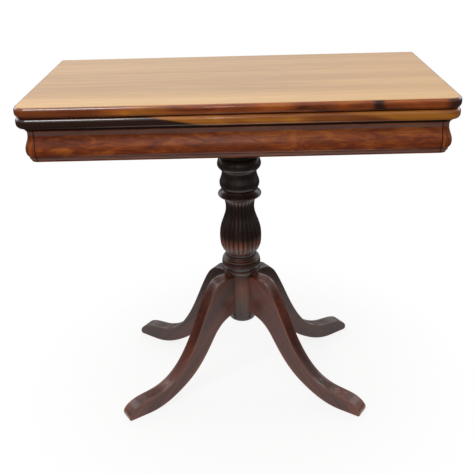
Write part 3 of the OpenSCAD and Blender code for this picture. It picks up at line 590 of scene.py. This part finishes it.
def grain(tree, place, turn, sizes, fine_share):
    """A wood's broad and fine streaks mixed, and its broad streaks, fine streaks and pores by themselves, along X, as
    values from 0 to 1. A streak is half a cell of its noise, whose scale is 0.5."""
    along = add(tree, "ShaderNodeMapping", {"Vector": place, "Rotation": turn}).outputs[0]
    streaks = []
    for width, length, detail, bend in zip(*sizes, (3, 4, 1), (0.9, 0.5, 0)):
        scaled = add(tree, "ShaderNodeMapping", {"Vector": along, "Scale": cells(width * length, width, width)})
        streaks.append(add(tree, "ShaderNodeTexNoise", {"Vector": scaled.outputs[0], "Scale": 0.5, "Detail": detail,
                                                        "Distortion": bend}).outputs[0])
    broad, fine, pores = streaks
    both = add(tree, "ShaderNodeMix", {0: fine_share, 2: broad, 3: fine}).outputs[0]
    return both, broad, fine, pores


def tone_stops(deep, mid, pale, spread):
    """Ramp stops from a deep to a pale tone of one wood, spread to both sides of the middle."""
    return [(0.5 - spread, linear(deep)), (0.5 + spread, linear(pale)), (0.5, linear(mid))]


def pored(tree, colour, pores, left):
    """A wood's colour, darkened in its pores to the share that is left there."""
    speck = add(tree, "ShaderNodeValToRGB", {"Fac": pores}, stops=[(0.3, (left, left, left, 1)), (0.42, (1, 1, 1, 1))])
    return add(tree, "ShaderNodeMix", {0: 1.0, 6: colour, 7: speck.outputs[0]}, data_type="RGBA",
               blend_type="MULTIPLY").outputs[2]


def apron_marks(tree, place):
    """Painted reflection on the apron's lip and bead, painted shadow under the leaf, and dark joints by its corners."""
    axes = add(tree, "ShaderNodeSeparateXYZ", {"Vector": place}).outputs
    # Painted reflection of the floor on the lip and on the bead
    painted_reflection = add(tree, "ShaderNodeMath", {0: near(tree, axes["Z"], LIP_Z, 3.5, 5, 0.65),
                                        1: near(tree, axes["Z"], BEAD_Z, 3, 4, 0.65)}, operation="MAXIMUM").outputs[0]
    out = add(tree, "ShaderNodeMath", {0: axes["X"]}, operation="ABSOLUTE").outputs[0]
    ends, sides = (add(tree, "ShaderNodeMath", {0: value, 1: inner * MM, 2: JOINT * MM}, operation="COMPARE").outputs[0]
                   for value, inner in ((out, INNER_X), (axes["Y"], -INNER_Y)))
    joint = add(tree, "ShaderNodeMath", {0: ends, 1: sides}, operation="MAXIMUM").outputs[0]
    # Painted reflection on the lip and bead, painted shadow under the leaf, and the dark joints
    return [(painted_reflection, linear("#7C5F55")), (near(tree, axes["Z"], LEAF_SHADOW_Z, 3, 4.5), linear("#2A140D")),
            (joint, linear("#150B08"))]


def varnished_wood(name, tones, turn=(0, 0, 0), figure=0.0, roughness=0.34, gloss=0.5, varnish=0.0, rubbed=None,
                   sawn=False, marked=False):
    """Mahogany or another wood in a deep, a middle and a pale tone, its grain along X after the turn. figure is the
    share of the curl that crosses the grain, gloss the specular level, varnish the weight of a clear coat,
    rubbed the colour of wear on the varnish together with painted sheen. A sawn piece keeps its own place on
    a board, and marked adds the apron's marks, which include a painted reflection and a painted shadow."""
    material, tree, shader = new_finish(name, {"Roughness": roughness, "Specular IOR Level": gloss,
                                               "Coat Weight": varnish, "Coat Roughness": 0.1})
    if sawn:
        place = add(tree, "ShaderNodeAttribute", attribute_name="board").outputs["Vector"]
    else:
        place = add(tree, "ShaderNodeTexCoord").outputs["Object"]
    value, broad, fine, pores = grain(tree, place, turn, BOARD_GRAIN, 0.42)
    if figure:
        leaning = add(tree, "ShaderNodeMapping", {"Vector": place, "Rotation": (turn[0], turn[1] - 0.35, turn[2]),
                                                  "Scale": cells(CURL_LENGTH, CURL_WIDTH, CURL_WIDTH)})
        curl = add(tree, "ShaderNodeTexNoise", {"Vector": leaning.outputs[0], "Scale": 1.0, "Detail": 7,
                                                "Roughness": 0.62, "Distortion": 1.1}).outputs[0]
        value = add(tree, "ShaderNodeMix", {0: figure, 2: value, 3: curl}).outputs[0]
    wood = add(tree, "ShaderNodeValToRGB", {"Fac": value}, stops=tone_stops(*tones, 0.2)).outputs[0]
    layers = []
    if rubbed:
        # Varnish wear, with painted highlights and sheen on the column and on the legs' reeded backs
        sheen_and_wear_share = add(tree, "ShaderNodeAttribute", attribute_name="rubbed").outputs["Fac"]
        share = add(tree, "ShaderNodeMath", {0: sheen_and_wear_share, 1: broad, 2: -0.05}, operation="MULTIPLY_ADD").outputs[0]
        layers.append((share, linear(rubbed)))
    if marked:
        layers += apron_marks(tree, place)
    surface(tree, shader, layered(tree, pored(tree, wood, pores, 0.55), layers), fine, 0.12, GRAIN_DEPTH)
    return material


def leaf_wood(name, outside, face, pale_band, golden_end, edge, marks, slant):
    """A leaf's mahogany. Its outside face, where outside is 1 for the upper side and -1 for the lower side, has a paler
    band along its front and a more golden right end. Its rounded edges are varnished, and its playing face is
    red-brown. marks are streaks along the edge: middle along X, half their length, softness of their ends, strength
    and colour. slant leans their ends."""
    material, tree, shader = new_finish(name, {"Roughness": 0.3, "Specular IOR Level": 0.42, "Coat Roughness": 0.1})
    where = add(tree, "ShaderNodeTexCoord").outputs
    axes = add(tree, "ShaderNodeSeparateXYZ", {"Vector": where["Object"]}).outputs
    value, _, fine, pores = grain(tree, where["Object"], (0, 0, 0), LEAF_GRAIN, 0.62)
    patches = add(tree, "ShaderNodeMapping", {"Vector": where["Object"],
                                              "Scale": cells(PATCH_LENGTH, PATCH_WIDTH, PATCH_WIDTH)})
    patch = add(tree, "ShaderNodeTexNoise", {"Vector": patches.outputs[0], "Scale": 1.0, "Detail": 3,
                                             "Distortion": 0.8}).outputs[0]
    rim = add(tree, "ShaderNodeMix", {0: 0.5, 2: value, 3: patch}).outputs[0]
    face_tone, edge_tone, inner_tone = (
        add(tree, "ShaderNodeValToRGB", {"Fac": streaks}, stops=tone_stops(*tones, spread)).outputs[0]
        for streaks, tones, spread in ((value, face, 0.16), (rim, edge, 0.14), (value, PLAYING_FACE_TONES, 0.2)))

    # Streaks along the edge, whose ends lean from the hinge's level and waver with the patches by 15 mm either way
    leaned = add(tree, "ShaderNodeMath", {0: axes["Z"], 1: slant, 2: axes["X"]}, operation="MULTIPLY_ADD").outputs[0]
    waver = add(tree, "ShaderNodeMath", {0: patch, 1: 30 * MM, 2: leaned}, operation="MULTIPLY_ADD").outputs[0]
    along = add(tree, "ShaderNodeMath", {0: waver, 1: (slant * HINGE_Z + 15) * MM}, operation="SUBTRACT").outputs[0]
    edge_tone = layered(tree, edge_tone, [(near(tree, along, middle, half - soft, half + soft, strength), linear(tone))
                                          for middle, half, soft, strength, tone in marks])
    face_tone = layered(tree, face_tone, [(near(tree, axes["Y"], -LEAF_D / 2, 30, 110, 0.42), linear(pale_band)),
                                          (near(tree, axes["X"], 450, 60, 460, 0.36), linear(golden_end))])

    upward = add(tree, "ShaderNodeSeparateXYZ", {"Vector": where["Normal"]}).outputs["Z"]
    on_face, on_inner = (
        add(tree, "ShaderNodeMapRange", {"Value": upward, "From Min": ROUNDED * side, "From Max": FLAT * side},
            interpolation_type="SMOOTHSTEP").outputs[0] for side in (outside, -outside))
    varnish = add(tree, "ShaderNodeMapRange", {"Value": on_face, "To Min": 1.0, "To Max": 0.0}).outputs[0]
    tree.links.new(varnish, shader.inputs["Coat Weight"])
    colour = layered(tree, edge_tone, [(on_inner, inner_tone), (on_face, face_tone)])
    surface(tree, shader, pored(tree, colour, pores, 0.8), fine, 0.08, GRAIN_DEPTH)
    return material


def metal(name, colour, roughness):
    """Solid metal with fine wear that darkens it and changes its gloss."""
    material, tree, shader = new_finish(name, {"Metallic": 1.0})
    place = add(tree, "ShaderNodeTexCoord").outputs["Object"]
    wear = add(tree, "ShaderNodeTexNoise", {"Vector": place, "Scale": 1 / (DULL_SPOT * MM), "Detail": 4}).outputs[0]
    tint = add(tree, "ShaderNodeValToRGB", {"Fac": wear},
               stops=[(0.35, [c * 0.62 for c in linear(colour)[:3]] + [1]), (0.6, linear(colour))])
    dulled = add(tree, "ShaderNodeMapRange", {"Value": wear, "From Min": 0.3, "From Max": 0.7,
                                              "To Min": roughness + 0.15, "To Max": roughness})
    tree.links.new(tint.outputs[0], shader.inputs["Base Color"])
    tree.links.new(dulled.outputs[0], shader.inputs["Roughness"])
    return material


def wool_felt(name, dark, light):
    """Wool felt: matt, with short fibres that blur its colour."""
    material, tree, shader = new_finish(name, {"Roughness": 0.95, "Sheen Weight": 0.4})
    place = add(tree, "ShaderNodeTexCoord").outputs["Object"]
    fibres = add(tree, "ShaderNodeTexNoise", {"Vector": place, "Scale": 1 / (FIBRE * MM), "Detail": 6}).outputs[0]
    tint = add(tree, "ShaderNodeValToRGB", {"Fac": fibres}, stops=[(0.3, linear(dark)), (0.7, linear(light))])
    surface(tree, shader, tint.outputs[0], fibres, 0.6, NAP)
    return material


# Mahogany that was polished by hand and faded in the sun: a dry straw brown with fine streaks. The rounded edges kept
# their amber and dark knocks under a thick glossy polish, and the shut playing faces their red-brown.
PLAYING_FACE_TONES = ("#4A2012", "#6E3419", "#8C4A26")
top_wood = leaf_wood(
    "sun-faded polished mahogany", 1, ("#A67C55", "#B88F61", "#C9A26F"), "#E4B878", "#D29C4C",
    ("#3E1806", "#98450F", "#CC7C1E"),
    ((-440, 200, 50, 0.85, "#64280A"), (-168, 34, 14, 0.6, "#9C5C16"), (262, 10, 7, 1, "#34170A"),
     (422, 30, 10, 0.9, "#34160A")), 0.0)

# The same polished mahogany, shaded by the upper leaf and never bleached: nearly black along the left half of its edge
# and golden beyond, with a red-brown underside
lower_leaf_wood = leaf_wood(
    "polished mahogany, dark and golden", -1, ("#3A2013", "#52301C", "#6A4128"), "#6A4128", "#52301C",
    ("#6A300A", "#965213", "#BA7622"),
    ((-700, 530, 12, 1, "#2E170B"), (140, 70, 30, 0.7, "#7E3E12"), (280, 80, 30, 0.75, "#B4701C")), 5.7)

# Figured mahogany, moulded and varnished: warm red-brown with leaning golden curls and soft gloss, a painted
# reflection on its lip and bead and a painted shadow under the leaf
APRON_TONES = ("#351207", "#7E360F", "#BE6A22")
apron_wood = varnished_wood("varnished figured mahogany", APRON_TONES, figure=0.6, gloss=0.4, marked=True)
side_apron_wood = varnished_wood("varnished figured mahogany, sides", APRON_TONES, turn=(0, 0, pi / 2), figure=0.6,
                                 gloss=0.4, marked=True)
corner_wood = varnished_wood("varnished upright mahogany", APRON_TONES, turn=(0, pi / 2, 0), figure=0.2, gloss=0.4,
                             marked=True)

# Turned mahogany under old dark varnish: almost black, with a clear gloss, and red-brown where hands have rubbed it
# The same red-brown paints highlights and reflections on its hub, beads and reed crests
column_wood = varnished_wood("turned mahogany, dark varnish", ("#160D0A", "#2A1812", "#492C22"), turn=(0, pi / 2, 0),
                             varnish=0.5, rubbed="#8E5038")

# Sawn mahogany under the same varnish: red-brown grain down each leg, paler arrises and toes, and a painted sheen on
# the reeded backs. The back legs get a darker copy of it, which is painted shade.
leg_wood = varnished_wood("sawn mahogany, dark varnish", ("#2A120A", "#502316", "#743725"), gloss=0.3, varnish=0.6,
                          rubbed="#945A3E", sawn=True)
# Darker copy of the legs' mahogany: painted shade on the back legs
shaded_back_leg_wood = varnished_wood("sawn mahogany, darker board", ("#1E0E0A", "#3C1D14", "#582A1E"), gloss=0.3,
                               varnish=0.4, rubbed="#5C3A2E", sawn=True)

# Planed pine left bare and browned with age: dull, with soft streaks
plain_wood = varnished_wood("aged planed pine", ("#5E4026", "#7C5837", "#94704A"), roughness=0.75, gloss=0.3)

# Rolled brass gone dull in spots, and drawn steel with a grey shine
brass = metal("aged rolled brass", "#B08A45", 0.3)
steel = metal("drawn steel", "#8E8E90", 0.35)

# Pressed green wool felt: matt and slightly fuzzy
felt = wool_felt("pressed wool felt", "#1B3A26", "#2F5A3D")

FINISHES = {"top_mahogany": top_wood, "apron_mahogany": apron_wood, "pedestal_mahogany": column_wood,
            "secondary_wood": plain_wood, "brass": brass, "steel": steel, "felt": felt}
for part in frame["record"]["subparts"]:
    for slot in frame["nodes"][part["node"]].material_slots:
        slot.material = FINISHES[part["material_slot"]]


# Pieces in place of plain CAD solids

column = turned(column_profile(), REEDS * REED_STEPS)
cut_reeds(column)
placed(finished("reeded_column", column), "column", column_wood)
placed(finished("turned_column_cap", turned(cap_profile(), 96)), "column_cap", column_wood)
for name, turn, wood in (
        ("front_left_leg", 180 + LEG_ANGLE, leg_wood), ("front_right_leg", -LEG_ANGLE, leg_wood),
        ("back_left_leg", 180 - LEG_ANGLE, shaded_back_leg_wood), ("back_right_leg", LEG_ANGLE, shaded_back_leg_wood)):
    placed(finished("sabre_" + name, leg(radians(turn))), name, wood)

# Housings in the front apron for the pivot rail and the two bearers, and grooves in the aprons' tops for the felt. The
# cuts go on past the wood, above, under and behind it.
PIVOT, RAIL_HALF, RAIL_LOW = 106.25, 45.05, 695.8
BEARER_IN, BEARER_OUT, BEARER_TOP = 41.9, 90.1, 672
FELT_X, FELT_Y, FELT_HALF, FELT_LOW = 406, 193.5, 4.1, 716.7
FELT_END_X, FELT_END_Y = 380.1, 167.6
HOUSING_Y, ABOVE, UNDER = (-188, -178), 720, 640

front_apron = finished("moulded_front_apron", straight_apron(-INNER_X, INNER_X, 0, WAIST_Y))
housings = [((x_from, HOUSING_Y[0], z_from), (x_to, HOUSING_Y[1], z_to)) for x_from, x_to, z_from, z_to in (
    (PIVOT - RAIL_HALF, PIVOT + RAIL_HALF, RAIL_LOW, ABOVE), (-BEARER_OUT, -BEARER_IN, UNDER, BEARER_TOP),
    (BEARER_IN, BEARER_OUT, UNDER, BEARER_TOP))]
groove = (-FELT_END_X, -FELT_Y - FELT_HALF, FELT_LOW), (FELT_END_X, -FELT_Y + FELT_HALF, ABOVE)
cut(front_apron, [*housings, groove])
placed(front_apron, "front_apron", apron_wood)
for side, name in ((-1, "left"), (1, "right")):
    low, high = (-INNER_Y, WAIST_Y) if side > 0 else (-WAIST_Y, INNER_Y)
    apron = finished("moulded_" + name + "_apron", straight_apron(low, high, side * pi / 2, WAIST_X))
    cut(apron, [((side * FELT_X - FELT_HALF, -FELT_END_Y, FELT_LOW), (side * FELT_X + FELT_HALF, FELT_END_Y, ABOVE))])
    placed(apron, name + "_apron", side_apron_wood)
    placed(finished("quarter_round_front_" + name, apron_corner(side)), "front_" + name + "_corner", corner_wood)

# Beds of the hinge plates in both leaves, measured from the hinges' middles and axis, and half the length and width of
# the pivot plate's recess in the lower leaf, and its upper end
BED_HALF, BED_REACH, BED_DEPTH = 32.05, 22.35, 1.85
RECESS_HALF_X, RECESS_HALF_Y, RECESS_TOP = 40.05, 30.05, LOWER_Z + 3.05

for name, low, bed, wood in (("lower", LOWER_Z, (HINGE_Z - BED_DEPTH, HINGE_Z), lower_leaf_wood),
                             ("upper", UPPER_Z, (HINGE_Z, HINGE_Z + BED_DEPTH), top_wood)):
    board = finished(name + "_leaf_board", leaf(low))
    cut(board, [((s * HINGE_X - BED_HALF, HINGE_Y - BED_REACH, bed[0]), (s * HINGE_X + BED_HALF, HINGE_Y + 3, bed[1]))
                for s in (-1, 1)])
    if name == "lower":
        cut(board, [((PIVOT - RECESS_HALF_X, PIVOT - RECESS_HALF_Y, LOWER_Z - 10),
                     (PIVOT + RECESS_HALF_X, PIVOT + RECESS_HALF_Y, RECESS_TOP))])
    placed(board, name + "_leaf", wood)
